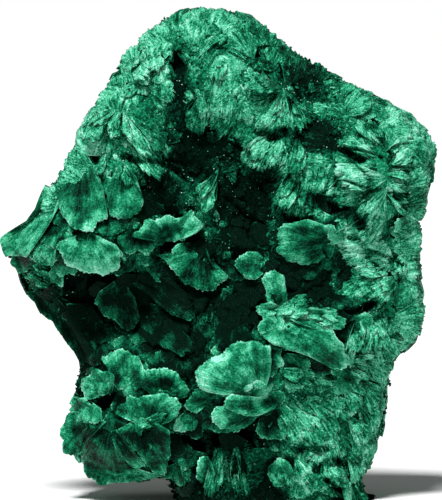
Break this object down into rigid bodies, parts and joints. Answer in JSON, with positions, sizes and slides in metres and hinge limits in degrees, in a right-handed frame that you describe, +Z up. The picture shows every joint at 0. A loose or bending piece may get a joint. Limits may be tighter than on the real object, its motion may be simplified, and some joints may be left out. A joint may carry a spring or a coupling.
{
  "type": "malachite specimen",
  "caption": "Free-standing hand specimen of fibrous green malachite: overlapping fan-shaped sprays around a dark velvety hollow, flat underneath.",
  "frame": {"origin": "middle of the bounding box in X and Y, at the height of the flat base that the specimen rests on", "axes": "+Z up, -Y towards the side with the hollow, +X to the right when the hollow is looked at"},
  "size_m": [0.078, 0.0495, 0.0896],
  "materials": {
    "malachite": "satin"
  },
  "bodies": {
    "root": {"malachite": "malachite"}
  },
  "joints": []
}
